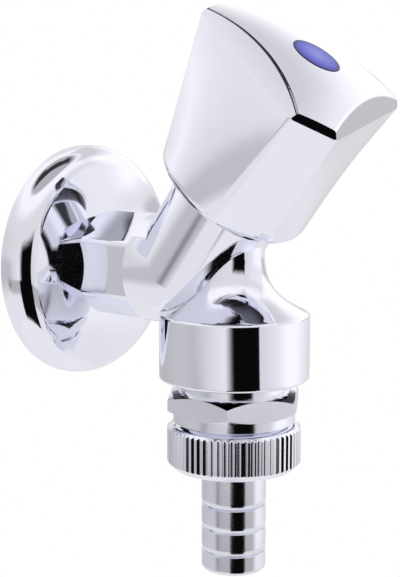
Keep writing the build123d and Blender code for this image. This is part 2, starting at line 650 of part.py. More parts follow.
# Poppet: stem, disc, hub for the seal and a rounded cap above it
with BuildPart() as check_poppet:
    with BuildSketch(OUTLET):
        with BuildLine():
            Polyline(
                (0, cage_bottom - POPPET_TAIL),
                (POPPET_STEM_R, cage_bottom - POPPET_TAIL),
                (POPPET_STEM_R, poppet_disc_bottom),
                (POPPET_R, poppet_disc_bottom),
                (POPPET_R, seal_bottom),
                (POPPET_HUB_R, seal_bottom),
                (POPPET_HUB_R, seal_top),
                (POPPET_CAP_R, seal_top),
                (POPPET_CAP_R, seal_top + POPPET_CAP),
                (POPPET_NOSE_R, seal_top + POPPET_CAP + POPPET_NOSE),
                (0, seal_top + POPPET_CAP + POPPET_NOSE),
                close=True,
            )
        make_face()
    revolve(axis=OUTLET_AXIS)
check_poppet.part.label = "check_poppet"
export_step(check_poppet.part, "parts/check_poppet.step")

# Rubber ring that closes on the cage's cone
cone_r_at_seal = CAGE_SEAT_R + (CAGE_CHAMBER_R - CAGE_SEAT_R) * SEAL_DROP / CAGE_CONE
with BuildPart() as check_seal:
    with BuildSketch(OUTLET):
        with BuildLine():
            Polyline(
                (POPPET_HUB_R, seal_bottom),
                (POPPET_R, seal_bottom),
                (POPPET_R, seal_top - SEAL_CHAMFER),
                (min(POPPET_R, cone_r_at_seal) - SLIDING_GAP, seal_top),
                (POPPET_HUB_R, seal_top),
                close=True,
            )
        make_face()
    revolve(axis=OUTLET_AXIS)
check_seal.part.label = "check_seal"
export_step(check_seal.part, "parts/check_seal.step")

# Closing spring between the guide and the poppet's disc
spring_bottom = guide_top + SPRING_WIRE_R + SEAT_GAP
spring_height = poppet_disc_bottom - SPRING_WIRE_R - SEAT_GAP - spring_bottom
with BuildPart() as check_spring:
    with BuildLine():
        Helix(
            pitch=spring_height / SPRING_COILS,
            height=spring_height,
            radius=SPRING_COIL_R,
            center=(OUTLET_X, 0, spring_bottom),
        )
    with BuildSketch(Plane(origin=(OUTLET_X + SPRING_COIL_R, 0, spring_bottom), z_dir=(0, 1, 0))):
        Circle(SPRING_WIRE_R)
    sweep(is_frenet=True)
check_spring.part.label = "check_spring"
export_step(check_spring.part, "parts/check_spring.step")

# Outlet nipple: threads into the cup, with a chamfered hexagon and a collar above the nut
nipple_ring_top = cup_bottom + 2 * NIPPLE_RING_WIRE
nipple_groove_r = NIPPLE_THREAD_R - NIPPLE_RING_WIRE
hex_corner_r = NIPPLE_FLATS / 2 / cos(radians(30))
hex_drop = (hex_corner_r - NIPPLE_FLATS / 2) * tan(radians(NIPPLE_HEX_LEAN))
with BuildPart() as outlet_nipple:
    with BuildSketch(OUTLET_CROSS.offset(nipple_hex_bottom)):
        RegularPolygon(NIPPLE_FLATS / 2, 6, major_radius=False, rotation=NIPPLE_HEX_ANGLE)
    extrude(amount=NIPPLE_HEX_HEIGHT)
    with BuildSketch(OUTLET):
        with BuildLine():
            Polyline(
                (0, nipple_hex_top),
                (NIPPLE_FLATS / 2, nipple_hex_top),
                (hex_corner_r, nipple_hex_top - hex_drop),
                (hex_corner_r, nipple_hex_bottom + hex_drop),
                (NIPPLE_FLATS / 2, nipple_hex_bottom),
                (0, nipple_hex_bottom),
                close=True,
            )
        make_face()
    revolve(axis=OUTLET_AXIS, mode=Mode.INTERSECT)
    with BuildSketch(OUTLET):
        with BuildLine():
            Polyline(
                (0, nipple_top),
                (NIPPLE_THREAD_R, nipple_top),
                (NIPPLE_THREAD_R, nipple_ring_top),
                (nipple_groove_r, nipple_ring_top),
                (nipple_groove_r, nipple_ring_top - NIPPLE_RING_WIRE),
                (NIPPLE_NECK_R, nipple_ring_top - NIPPLE_RING_WIRE),
                (NIPPLE_NECK_R, nipple_hex_top),
                (0, nipple_hex_top),
                close=True,
            )
        make_face()
        with BuildLine():
            Polyline(
                (0, nipple_hex_bottom),
                (NIPPLE_COLLAR_R, nipple_hex_bottom),
                (NIPPLE_COLLAR_R, nipple_collar_bottom),
                (NIPPLE_THREAD_R, nipple_collar_bottom),
                (NIPPLE_THREAD_R, nipple_bottom),
                (0, nipple_bottom),
                close=True,
            )
        make_face()
    revolve(axis=OUTLET_AXIS)
    with BuildSketch(OUTLET_CROSS.offset(cage_bottom - SEAT_GAP)):
        Circle(CAGE_R + SLIDING_GAP)
    extrude(amount=nipple_top - cage_bottom + SEAT_GAP, mode=Mode.SUBTRACT)
    with BuildSketch(OUTLET_CROSS.offset(nipple_bottom)):
        Circle(NIPPLE_BORE_R)
    extrude(amount=cage_bottom - nipple_bottom, mode=Mode.SUBTRACT)
outlet_nipple.part.label = "outlet_nipple"
export_step(outlet_nipple.part, "parts/outlet_nipple.step")

# Seal between the nipple and the cup
with BuildPart() as nipple_o_ring:
    with BuildSketch(OUTLET):
        with Locations(
            (
                NIPPLE_THREAD_R + RUNNING_GAP / 2 - NIPPLE_RING_WIRE / 2,
                nipple_ring_top - NIPPLE_RING_WIRE / 2,
            )
        ):
            Circle(NIPPLE_RING_WIRE / 2)
    revolve(axis=OUTLET_AXIS)
nipple_o_ring.part.label = "nipple_o_ring"
export_step(nipple_o_ring.part, "parts/nipple_o_ring.step")

# Union nut: straight knurl, chamfered ends and an inner lip under the tail's flange
nut_bore_r = NIPPLE_THREAD_R + THREAD_GAP
with BuildPart() as union_nut:
    with BuildSketch(OUTLET_CROSS.offset(nut_bottom)):
        Circle(NUT_R)
        with PolarLocations(NUT_R, NUT_GROOVES):
            RegularPolygon(NUT_GROOVE, 4, mode=Mode.SUBTRACT)
    extrude(amount=NUT_HEIGHT)
    with BuildSketch(OUTLET):
        with BuildLine():
            Polyline(
                (TAIL_R + LOOSE_GAP, nut_bottom),
                (NUT_R - NUT_FOOT_CHAMFER, nut_bottom),
                (NUT_R, nut_bottom + NUT_FOOT_CHAMFER),
                (NUT_R, nut_top - NUT_TOP_CHAMFER),
                (NUT_R - NUT_TOP_CHAMFER, nut_top),
                (nut_bore_r, nut_top),
                (nut_bore_r, nut_lip_top),
                (TAIL_R + LOOSE_GAP, nut_lip_top),
                close=True,
            )
        make_face()
    revolve(axis=OUTLET_AXIS, mode=Mode.INTERSECT)
union_nut.part.label = "union_nut"
export_step(union_nut.part, "parts/union_nut.step")

# Flat washer between the nipple and the hose tail
with BuildPart() as hose_gasket:
    with BuildSketch(OUTLET_CROSS.offset(tail_flange_top)):
        Circle(TAIL_FLANGE_R)
        Circle(TAIL_GASKET_HOLE_R, mode=Mode.SUBTRACT)
    extrude(amount=TAIL_GASKET)
hose_gasket.part.label = "hose_gasket"
export_step(hose_gasket.part, "parts/hose_gasket.step")

# Hose tail: a loose flange held by the nut, a plain neck and barbs that fall back to the root
with BuildPart() as hose_tail:
    with BuildSketch(OUTLET):
        with BuildLine():
            outline = [
                (TAIL_BORE_R, tail_flange_top),
                (TAIL_FLANGE_R, tail_flange_top),
                (TAIL_FLANGE_R, tail_flange_bottom),
                (TAIL_R, tail_flange_bottom),
                (TAIL_R, tail_neck_bottom + TAIL_BARB_PITCH - TAIL_BARB_LAND),
            ]
            for barb in range(TAIL_BARBS):
                edge = tail_neck_bottom - barb * TAIL_BARB_PITCH
                outline.append((TAIL_ROOT_R, edge))
                outline.append((TAIL_R, edge))
                outline.append((TAIL_R, edge - TAIL_BARB_LAND))
            outline.append((TAIL_ROOT_R, tail_end + TAIL_END_ROUND))
            outline.append((TAIL_ROOT_R - TAIL_END_ROUND, tail_end))
            outline.append((TAIL_BORE_R, tail_end))
            Polyline(*outline, close=True)
        make_face()
    revolve(axis=OUTLET_AXIS)
hose_tail.part.label = "hose_tail"
export_step(hose_tail.part, "parts/hose_tail.step")
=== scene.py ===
# %% [markdown]
# # A chrome wall tap with a non-return valve
# The real object is a small plated brass tap. A rosette covers the hole in the wall,
# an inclined headwork carries a cornered handle, and an upright cup holds a spring
# loaded non-return valve above a knurled union nut and a barbed hose tail.
# The CAD solids already have those shapes, so this lesson keeps them and spends its
# effort on finishes, on the screw threads and on a studio that chrome can mirror.

# %% Load the frame
import json
from math import atan2, cos, pi, radians, sin

import bmesh
import bpy
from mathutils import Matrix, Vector

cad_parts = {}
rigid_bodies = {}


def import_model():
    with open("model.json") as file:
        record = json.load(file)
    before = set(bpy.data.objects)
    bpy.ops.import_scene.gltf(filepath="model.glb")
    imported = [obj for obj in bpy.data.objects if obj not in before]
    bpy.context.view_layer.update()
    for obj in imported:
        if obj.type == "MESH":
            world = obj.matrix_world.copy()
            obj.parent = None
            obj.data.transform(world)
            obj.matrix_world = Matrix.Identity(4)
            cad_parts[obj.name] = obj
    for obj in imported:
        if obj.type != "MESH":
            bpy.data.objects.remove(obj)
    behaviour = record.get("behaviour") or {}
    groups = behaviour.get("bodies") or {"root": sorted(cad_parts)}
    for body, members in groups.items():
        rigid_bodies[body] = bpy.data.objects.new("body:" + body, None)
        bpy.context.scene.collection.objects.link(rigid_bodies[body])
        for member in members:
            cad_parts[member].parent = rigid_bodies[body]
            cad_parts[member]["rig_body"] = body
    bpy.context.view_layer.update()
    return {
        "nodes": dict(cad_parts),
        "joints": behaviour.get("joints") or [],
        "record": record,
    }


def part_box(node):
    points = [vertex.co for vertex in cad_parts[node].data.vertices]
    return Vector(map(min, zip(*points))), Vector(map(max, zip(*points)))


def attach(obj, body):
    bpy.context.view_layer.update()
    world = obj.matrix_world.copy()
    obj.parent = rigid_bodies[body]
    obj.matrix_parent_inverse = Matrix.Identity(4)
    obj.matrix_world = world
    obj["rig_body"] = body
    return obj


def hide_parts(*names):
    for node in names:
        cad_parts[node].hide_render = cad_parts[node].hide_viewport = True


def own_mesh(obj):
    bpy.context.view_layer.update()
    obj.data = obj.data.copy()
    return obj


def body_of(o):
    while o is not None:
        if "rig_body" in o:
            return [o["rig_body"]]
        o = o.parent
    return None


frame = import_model()
nodes = frame["nodes"]
joints = {joint["name"]: joint for joint in frame["joints"]}
scene = bpy.context.scene
scene.view_settings.view_transform = "Standard"

# %% [markdown]
# Two axes carry nearly every round piece: the headwork's, which the handle turns about, and
# the outlet's, which the union nut turns about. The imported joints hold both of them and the
# poppet's travel. The frame is in metres, and lathe work is easier to read in millimetres.

# %% Axes of the headwork and the outlet
MM = 0.001
UP = Vector((0, 0, 1))
OUT_OF_WALL = Vector((1, 0, 0))
HEAD_FOOT = Vector(joints["handle_turn"]["pos_m"])
HEAD_UP = Vector(joints["handle_turn"]["axis"])
OUTLET = Vector(joints["union_nut_turn"]["pos_m"])


def heights(name):
    """Foot and top of a CAD node, in millimetres."""
    low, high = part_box(name)
    return low.z / MM, high.z / MM


# %% [markdown]
# ## Camera
# The upright edges of the cup and nut stay parallel in the picture while the rosette is
# seen as an ellipse, so the lens is long and the camera stands a little above the tap,
# in front and to its right. A target and three polar numbers are easier to adjust than
# a place and a turn, so the camera is placed by those.

# %% Camera at the photograph's viewing angle
VIEW_AZIMUTH = 37.985
VIEW_ELEVATION = 8.78
VIEW_DISTANCE = 0.31614
VIEW_TARGET = Vector((0.035648, 0.0, -0.00389))
LENS_MM, SENSOR_MM = 87.70, 36.0
NEAREST_SEEN = 0.01


def direction(azimuth, elevation):
    """Unit vector from the tap towards a place at that azimuth and elevation."""
    a, e = radians(azimuth), radians(elevation)
    return Vector((sin(a) * cos(e), -cos(a) * cos(e), sin(e)))


camera_data = bpy.data.cameras.new("camera")
camera_data.lens = LENS_MM
camera_data.sensor_width = SENSOR_MM
camera_data.clip_start = NEAREST_SEEN
camera = bpy.data.objects.new("camera", camera_data)
toward_camera = direction(VIEW_AZIMUTH, VIEW_ELEVATION)
camera.location = VIEW_TARGET + toward_camera * VIEW_DISTANCE
camera.rotation_euler = toward_camera.to_track_quat("Z", "Y").to_euler()
scene.collection.objects.link(camera)
scene.camera = camera
print("Camera at", [round(v, 4) for v in camera.location])

# %% [markdown]
# ## Studio
# Chrome has no colour of its own: it shows the room. The photograph was taken in a white
# tent with a dark slit for the lens, and that slit is the black band down the cup and
# the hose tail. The tent is brighter on the right, where its softbox stands, and greyer
# on the left. Two turns of a ray give its place in the tent: azimuth, counted from the
# lens towards the right, and elevation. The tent's level round the horizon is a ramp over
# azimuth, and the roof, the skirt and the slit are soft windows over the two.

# %% Helpers for the tent
world = bpy.data.worlds.new("white_tent")
world.use_nodes = True
scene.world = world
tent = world.node_tree
tent.nodes.clear()


def tent_math(operation, *sources):
    """One Math node in the tent, fed by numbers or by sockets."""
    node = tent.nodes.new("ShaderNodeMath")
    node.operation = operation
    for socket, source in zip(node.inputs, sources):
        if isinstance(source, (int, float)):
            socket.default_value = source
        else:
            tent.links.new(source, socket)
    return node.outputs[0]


def tent_edge(value, start, end):
    """0 before start, 1 after end, in degrees, with a soft step between."""
    node = tent.nodes.new("ShaderNodeMapRange")
    node.interpolation_type = "SMOOTHSTEP"
    tent.links.new(value, node.inputs["Value"])
    node.inputs["From Min"].default_value = radians(start)
    node.inputs["From Max"].default_value = radians(end)
    return node.outputs["Result"]


def tent_window(value, rise, fall):
    """1 between two soft steps, each given as (start, end) in degrees."""
    inside = tent_edge(value, *rise)
    beyond = tent_edge(value, *fall)
    return tent_math("MULTIPLY", inside, tent_math("SUBTRACT", 1.0, beyond))


def tent_mix(base, level, amount):
    """The base level, moved towards another level by an amount from 0 to 1."""
    share = tent_math("SUBTRACT", level, base)
    return tent_math("MULTIPLY_ADD", share, amount, base)


def tent_patch(base, patch_level, azimuths, elevations):
    """The base level with a soft-edged patch of another level on it."""
    across = tent_window(azimuth, *azimuths)
    upright = tent_window(elevation, *elevations)
    return tent_mix(base, patch_level, tent_math("MULTIPLY", across, upright))


def tent_ramp(value, stops):
    """A level that follows a value through (degrees, level) stops."""
    start, end = stops[0][0], stops[-1][0]
    place = tent.nodes.new("ShaderNodeMapRange")
    place.inputs["From Min"].default_value = radians(start)
    place.inputs["From Max"].default_value = radians(end)
    tent.links.new(value, place.inputs["Value"])
    ramp = tent.nodes.new("ShaderNodeValToRGB")
    tent.links.new(place.outputs["Result"], ramp.inputs["Fac"])
    elements = ramp.color_ramp.elements
    for degrees, _ in stops[1:-1]:
        elements.new((degrees - start) / (end - start))
    for element, (_, stop_level) in zip(elements, stops):
        element.color = (stop_level, stop_level, stop_level, 1.0)
    return ramp.outputs["Color"]


# %% [markdown]
# A world shader gets the ray's direction as Generated coordinates. They are turned to the lens,
# so that azimuth 0 is the lens itself and the slit's numbers read as degrees to its right.

# %% Azimuth and elevation of a ray
ray_place = tent.nodes.new("ShaderNodeTexCoord")
turn_to_lens = tent.nodes.new("ShaderNodeMapping")
turn_to_lens.inputs["Rotation"].default_value = (0.0, 0.0, radians(-VIEW_AZIMUTH))
tent.links.new(ray_place.outputs["Generated"], turn_to_lens.inputs["Vector"])
ray_axes = tent.nodes.new("ShaderNodeSeparateXYZ")
tent.links.new(turn_to_lens.outputs["Vector"], ray_axes.inputs["Vector"])
forward = tent_math("MULTIPLY", ray_axes.outputs["Y"], -1.0)
azimuth = tent_math("ARCTAN2", ray_axes.outputs["X"], forward)
elevation = tent_math("ARCSINE", ray_axes.outputs["Z"])
print("Tent helpers and", len(tent.nodes), "nodes for a ray's place")

# %% [markdown]
# The walls are two rings, one just under the lens and one above it, and the roof hangs over
# both. A softbox leans against the wall behind the tap on the right. Lamps and panels could
# stand round the tap instead, but in one world each level is tuned by itself.

# %% Walls, roof and softbox
low_ring = tent_ramp(azimuth, [
    (-180, 0.62), (-140, 0.52), (-95, 0.60), (-65, 0.56), (-43, 0.72), (-15, 0.90),
    (42, 0.76), (66, 0.88), (88, 1.10), (106, 1.08), (130, 0.90), (180, 0.62),
])
high_ring = tent_ramp(azimuth, [
    (-180, 0.80), (-133, 0.92), (-118, 1.02), (-97, 0.82), (-85, 0.72), (-60, 0.76),
    (-20, 0.80), (40, 0.80), (70, 0.90), (110, 0.95), (180, 0.78),
])
CEILING_LEVEL = 0.50
roof = tent_ramp(elevation, [(0, 0.80), (34, 0.80), (47, 1.04), (60, 1.04), (69, 0.05), (90, 0.03)])
level = tent_mix(low_ring, high_ring, tent_edge(elevation, -3, 6))
in_front = tent_window(azimuth, (-64, -48), (95, 115))
at_back = tent_math("SUBTRACT", 1.0, tent_window(azimuth, (-140, -125), (150, 165)))
closed = tent_math(
    "MAXIMUM",
    tent_math("MULTIPLY", in_front, tent_edge(elevation, 60, 69)),
    tent_math("MULTIPLY", at_back, tent_window(elevation, (60, 69), (72, 76))),
)
roof = tent_mix(roof, CEILING_LEVEL, closed)
level = tent_mix(level, roof, tent_edge(elevation, 18, 34))

SOFTBOX_LEVEL, SOFTBOX_LEAN = 1.12, 0.3
BACK_LEVEL = 0.70
behind = tent_window(azimuth, (95, 115), (174, 179))
back_wall = tent_window(elevation, (2, 10), (54, 62))
level = tent_mix(level, BACK_LEVEL, tent_math("MULTIPLY", behind, back_wall))
slant = tent_math("MULTIPLY_ADD", azimuth, SOFTBOX_LEAN, elevation)
softbox = tent_math("SUBTRACT", 1.0, tent_edge(slant, 71, 90))
softbox = tent_math("MULTIPLY", softbox, tent_edge(elevation, 4, 12))
level = tent_mix(level, SOFTBOX_LEVEL, tent_math("MULTIPLY", behind, softbox))
print("Walls, roof and softbox:", len(tent.nodes), "nodes")

# %% [markdown]
# Below the walls the tent's skirt runs out over the table. It has one soft grey fold, its front
# flaps are in shade, and a seam shows behind on the right. The slit is cut last. Its left
# edge is curtained softly above, and its lower part is cut square.

# %% Skirt, fold and slit
SKIRT_LEVEL = 0.86
FOLD_LEVEL = 0.28
FLAP_LEVEL = 0.50
SEAM_LEVEL = 0.60
SLIT_LEVEL = 0.003
level = tent_mix(level, SKIRT_LEVEL, tent_math("SUBTRACT", 1.0, tent_edge(elevation, -30, -13)))
level = tent_patch(level, FOLD_LEVEL, ((-74, -60), (-56, -44)), ((-27, -19), (-18, -11)))
level = tent_patch(level, FLAP_LEVEL, ((-62, -46), (66, 90)), ((-30, -24), (-16, -14)))
level = tent_patch(level, SEAM_LEVEL, ((116, 124), (144, 152)), ((-7, -4), (3, 6)))
level = tent_patch(level, SLIT_LEVEL, ((-17, -1), (36, 38)), ((-17, -16), (8, 20)))
level = tent_patch(level, SLIT_LEVEL, ((-15, -12), (39, 41)), ((-52, -45), (-15.5, -14.5)))
print("Tent with its slit:", len(tent.nodes), "nodes")

# %% [markdown]
# The camera sees white paper behind the tap, and every other ray sees the tent. A real sheet
# of paper would be mirrored in the chrome, so the world itself answers the camera with white.

# %% White paper behind the tap
tent_light = tent.nodes.new("ShaderNodeBackground")
tent.links.new(level, tent_light.inputs["Color"])
paper = tent.nodes.new("ShaderNodeBackground")
paper.inputs["Color"].default_value = (1.0, 1.0, 1.0, 1.0)
ray = tent.nodes.new("ShaderNodeLightPath")
seen = tent.nodes.new("ShaderNodeMixShader")
tent.links.new(ray.outputs["Is Camera Ray"], seen.inputs["Fac"])
tent.links.new(tent_light.outputs[0], seen.inputs[1])
tent.links.new(paper.outputs[0], seen.inputs[2])
tent_out = tent.nodes.new("ShaderNodeOutputWorld")
tent.links.new(seen.outputs[0], tent_out.inputs["Surface"])
print("World:", world.name)

# %% [markdown]
# ## Finishes
# Each finish is a node material on Object coordinates, so its scale is in metres and it
# stays the same in every pose. Polished plate keeps a trace of orange peel and of the
# buffing wheel. Turned plate, on the nipple, nut and hose tail, keeps the lathe's rings.

# %% Helpers for node materials
WAVE_LENGTH = 0.314


def principled(name):
    """A new material with its shader and an Object coordinate socket."""
    material = bpy.data.materials.new(name)
    material.use_nodes = True
    tree = material.node_tree
    place = tree.nodes.new("ShaderNodeTexCoord")
    return material, tree, tree.nodes["Principled BSDF"], place.outputs["Object"]


def noise(tree, place, scale, detail=2.0):
    node = tree.nodes.new("ShaderNodeTexNoise")
    node.inputs["Scale"].default_value = scale
    node.inputs["Detail"].default_value = detail
    tree.links.new(place, node.inputs["Vector"])
    return node.outputs["Fac"]


def stretched(tree, place, scale):
    """Coordinates stretched along the axes, for grain that runs one way."""
    node = tree.nodes.new("ShaderNodeMapping")
    node.inputs["Scale"].default_value = scale
    tree.links.new(place, node.inputs["Vector"])
    return node.outputs["Vector"]


def between(tree, value, low, high):
    """The value's 0.3 to 0.7 spread over low to high, for roughness and the like."""
    node = tree.nodes.new("ShaderNodeMapRange")
    node.inputs["From Min"].default_value = 0.3
    node.inputs["From Max"].default_value = 0.7
    node.inputs["To Min"].default_value = low
    node.inputs["To Max"].default_value = high
    tree.links.new(value, node.inputs["Value"])
    return node.outputs["Result"]


def shades(tree, value, dark, light):
    """A colour between two shades, chosen by the value."""
    node = tree.nodes.new("ShaderNodeValToRGB")
    node.color_ramp.elements[0].position = 0.3
    node.color_ramp.elements[0].color = (*dark, 1.0)
    node.color_ramp.elements[1].position = 0.7
    node.color_ramp.elements[1].color = (*light, 1.0)
    tree.links.new(value, node.inputs["Fac"])
    return node.outputs["Color"]


def dress(tree, shader, tint, rough, metal=0.0):
    """Gives a shader its tint and its roughness, and makes it metal or not."""
    tree.links.new(tint, shader.inputs["Base Color"])
    tree.links.new(rough, shader.inputs["Roughness"])
    shader.inputs["Metallic"].default_value = metal


def relief(tree, shader, value, depth, strength):
    """Fine surface relief, with its depth in metres."""
    node = tree.nodes.new("ShaderNodeBump")
    node.inputs["Strength"].default_value = strength
    node.inputs["Distance"].default_value = depth
    tree.links.new(value, node.inputs["Height"])
    tree.links.new(node.outputs["Normal"], shader.inputs["Normal"])


def vector_math(tree, operation, first, second=None, output="Vector"):
    """One vector step, fed by sockets or by fixed vectors."""
    node = tree.nodes.new("ShaderNodeVectorMath")
    node.operation = operation
    for socket, source in zip(node.inputs, (first, second)):
        if isinstance(source, Vector):
            socket.default_value = source
        elif source is not None:
            tree.links.new(source, socket)
    return node.outputs[output]


def rings(tree, place, pitch, axis="Z"):
    """Lathe rings across an axis, one each pitch, a little uneven. Scale 1 gives one each WAVE_LENGTH."""
    node = tree.nodes.new("ShaderNodeTexWave")
    node.wave_type = "BANDS"
    node.bands_direction = axis
    node.inputs["Scale"].default_value = WAVE_LENGTH / pitch
    node.inputs["Distortion"].default_value = 1.5
    node.inputs["Detail Scale"].default_value = 40.0
    tree.links.new(place, node.inputs["Vector"])
    return node.outputs["Fac"]


# %% [markdown]
# The rosette, the body and the handle are plated and buffed. The tint is faintly cool, and the
# roughness wanders a little. One even mirror would be simpler, but it looks too perfect, so a
# noise goes into the tint, a stretched one into the roughness and a soft one into the relief.

# %% Plate from the buffing wheel
PLATE_DARK, PLATE_LIGHT = (0.855, 0.857, 0.945), (0.875, 0.877, 0.962)


def buffed_plate(name):
    """Polished plate, with its tint and roughness sockets for a finish that changes them."""
    material, tree, shader, place = principled(name)
    tint = shades(tree, noise(tree, place, 90.0), PLATE_DARK, PLATE_LIGHT)
    buffing = noise(tree, stretched(tree, place, (300.0, 300.0, 2500.0)), 1.0, 4.0)
    gloss = between(tree, buffing, 0.035, 0.065)
    dress(tree, shader, tint, gloss, 1.0)
    relief(tree, shader, noise(tree, place, 260.0, 1.0), 0.2 * MM, 0.02)
    return material, tree, shader, place, tint, gloss


polished = buffed_plate("polished_plate")[0]
print("Finish:", polished.name)

# %% [markdown]
# Two plated pieces aren't bright all over. The body gets painted shade on its flat underside:
# a dark base colour where its face looks down. The cast handle is bare grey inside. A second
# material on chosen faces would do it, but the way a face looks already tells which it is. So a
# mask from the normal mixes plate with painted shade or with bare metal, and each piece keeps one
# material.

# %% Painted shade under the body, and the cast handle
# Painted shade: a dark base colour on the body's downward faces, and the range of the normal it fades
# over.
UNDERSIDE_PAINTED_SHADE, UNDERSIDE_SHADE_EDGE = (0.045, 0.044, 0.050, 1.0), (-0.97, -0.92)
CAST_GREY, CAST_ROUGHNESS, CAST_EDGE = (0.80, 0.80, 0.84, 1.0), 0.6, (-4 * MM, -2 * MM)


def facing(tree):
    """The way a face looks, in the part's own axes."""
    return tree.nodes.new("ShaderNodeTexCoord").outputs["Normal"]


def off_head_axis(tree, place):
    """A vector square to the headwork's axis, as long as the place is far from it."""
    return vector_math(tree, "CROSS_PRODUCT", vector_math(tree, "SUBTRACT", place, HEAD_FOOT), HEAD_UP)


def step_up(tree, value, low, high):
    """0 below low and 1 above high."""
    node = tree.nodes.new("ShaderNodeMapRange")
    node.inputs["From Min"].default_value = low
    node.inputs["From Max"].default_value = high
    tree.links.new(value, node.inputs["Value"])
    return node.outputs["Result"]


def plate_or_bare_or_shade(tree, plate_share, bare, plate, kind):
    """A bare value, or painted shade, where the mask is 0, and the plate's where it is 1."""
    node = tree.nodes.new("ShaderNodeMix")
    node.data_type = kind
    node.inputs["A"].default_value = bare
    tree.links.new(plate_share, node.inputs["Factor"])
    tree.links.new(plate, node.inputs["B"])
    return node.outputs["Result"]


def shaded_underside_plate():
    """Plate with painted shade, a dark base colour, where the face looks down."""
    material, tree, shader, _, tint, _ = buffed_plate("shaded_underside_plate")
    axes = tree.nodes.new("ShaderNodeSeparateXYZ")
    tree.links.new(facing(tree), axes.inputs["Vector"])
    # The mask is 0 where a face looks down, and there painted shade takes the place of the plate's tint.
    plate_share = step_up(tree, axes.outputs["Z"], *UNDERSIDE_SHADE_EDGE)
    skin = plate_or_bare_or_shade(tree, plate_share, UNDERSIDE_PAINTED_SHADE, tint, "RGBA")
    tree.links.new(skin, shader.inputs["Base Color"])
    return material


def cast_plate():
    """Plate outside, and dull grey metal where a face looks in at the headwork's axis."""
    material, tree, shader, place, tint, gloss = buffed_plate("cast_plate")
    outward = vector_math(tree, "CROSS_PRODUCT", HEAD_UP, off_head_axis(tree, place))
    looks_out = vector_math(tree, "DOT_PRODUCT", facing(tree), outward, "Value")
    plate_share = step_up(tree, looks_out, *CAST_EDGE)
    skin = plate_or_bare_or_shade(tree, plate_share, CAST_GREY, tint, "RGBA")
    tree.links.new(skin, shader.inputs["Base Color"])
    tree.links.new(plate_share, shader.inputs["Metallic"])
    rough = plate_or_bare_or_shade(tree, plate_share, CAST_ROUGHNESS, gloss, "FLOAT")
    tree.links.new(rough, shader.inputs["Roughness"])
    return material


body_plate_with_shade = shaded_underside_plate()
cast = cast_plate()
print("Finishes:", body_plate_with_shade.name, cast.name)

# %% [markdown]
# Turned pieces keep rings from the tool. The tail is only plated over them, so it is satin. The
# rings are too fine to model, so a wave texture draws them in the gloss and the relief.

# %% Turned plate and satin plate
def lathe_plate(name, mottle, dark, light, pitch, gloss, bite):
    """Plated bar that keeps the tool's rings in its gloss and, by its bite, in its relief."""
    material, tree, shader, place = principled(name)
    tint = shades(tree, noise(tree, place, mottle), dark, light)
    lathe = rings(tree, place, pitch)
    dress(tree, shader, tint, between(tree, lathe, *gloss), 1.0)
    relief(tree, shader, lathe, 0.02 * MM, bite)
    return material


def turned_plate():
    return lathe_plate(
        "turned_plate", mottle=120.0, dark=(0.83, 0.832, 0.92), light=(0.87, 0.872, 0.955),
        pitch=0.22 * MM, gloss=(0.05, 0.09), bite=0.10,
    )


def satin_plate():
    return lathe_plate(
        "satin_plate", mottle=150.0, dark=(0.77, 0.772, 0.855), light=(0.82, 0.822, 0.905),
        pitch=0.30 * MM, gloss=(0.07, 0.11), bite=0.15,
    )


turned = turned_plate()
satin = satin_plate()
print("Finishes:", turned.name, satin.name)

# %% [markdown]
# The headwork's own pieces are bare: turned brass, and stainless steel drawn or rolled. They
# lie inside the tap. Brass gets rings as from a lathe, and steel gets a fine grain that runs
# one way, which is a noise on stretched coordinates.

# %% Bare metals
def raw_brass():
    material, tree, shader, place = principled("raw_brass")
    tint = shades(tree, noise(tree, place, 220.0, 4.0), (0.56, 0.40, 0.16), (0.74, 0.57, 0.27))
    lathe = rings(tree, place, 0.35 * MM, "X")
    dress(tree, shader, tint, between(tree, lathe, 0.24, 0.38), 1.0)
    relief(tree, shader, lathe, 0.03 * MM, 0.25)
    return material


def stainless_steel():
    material, tree, shader, place = principled("stainless_steel")
    tint = shades(tree, noise(tree, place, 400.0, 3.0), (0.52, 0.52, 0.53), (0.66, 0.66, 0.66))
    brushing = noise(tree, stretched(tree, place, (4000.0, 4000.0, 400.0)), 1.0, 3.0)
    dress(tree, shader, tint, between(tree, brushing, 0.20, 0.34), 1.0)
    relief(tree, shader, brushing, 0.02 * MM, 0.20)
    return material


brass = raw_brass()
steel = stainless_steel()
print("Finishes:", brass.name, steel.name)

# %% [markdown]
# Seals are black rubber, gaskets are red fibre, and the cartridge is white moulded plastic. The
# button is blue moulding. Its colour follows the distance from the headwork's axis: a painted
# highlight makes it pale in the middle, and painted shade of its recess makes it dark at its rim.

# %% Rubber, fibre and plastics
BUTTON_RADIUS = 5.5 * MM


def black_rubber():
    material, tree, shader, place = principled("black_rubber")
    tint = shades(tree, noise(tree, place, 900.0, 4.0), (0.010, 0.010, 0.011), (0.035, 0.034, 0.034))
    bloom = noise(tree, place, 500.0, 3.0)
    dress(tree, shader, tint, between(tree, bloom, 0.50, 0.72))
    relief(tree, shader, noise(tree, place, 2600.0, 2.0), 0.05 * MM, 0.30)
    return material


def red_fibre():
    material, tree, shader, place = principled("red_fibre")
    strands = noise(tree, stretched(tree, place, (700.0, 3200.0, 1200.0)), 1.0, 5.0)
    tint = shades(tree, strands, (0.20, 0.035, 0.022), (0.42, 0.10, 0.06))
    dress(tree, shader, tint, between(tree, strands, 0.60, 0.85))
    relief(tree, shader, strands, 0.08 * MM, 0.35)
    return material


def white_plastic():
    material, tree, shader, place = principled("white_plastic")
    tint = shades(tree, noise(tree, place, 180.0, 2.0), (0.74, 0.74, 0.71), (0.82, 0.82, 0.80))
    mould = noise(tree, place, 1500.0, 2.0)
    dress(tree, shader, tint, between(tree, mould, 0.30, 0.45))
    relief(tree, shader, mould, 0.03 * MM, 0.15)
    return material


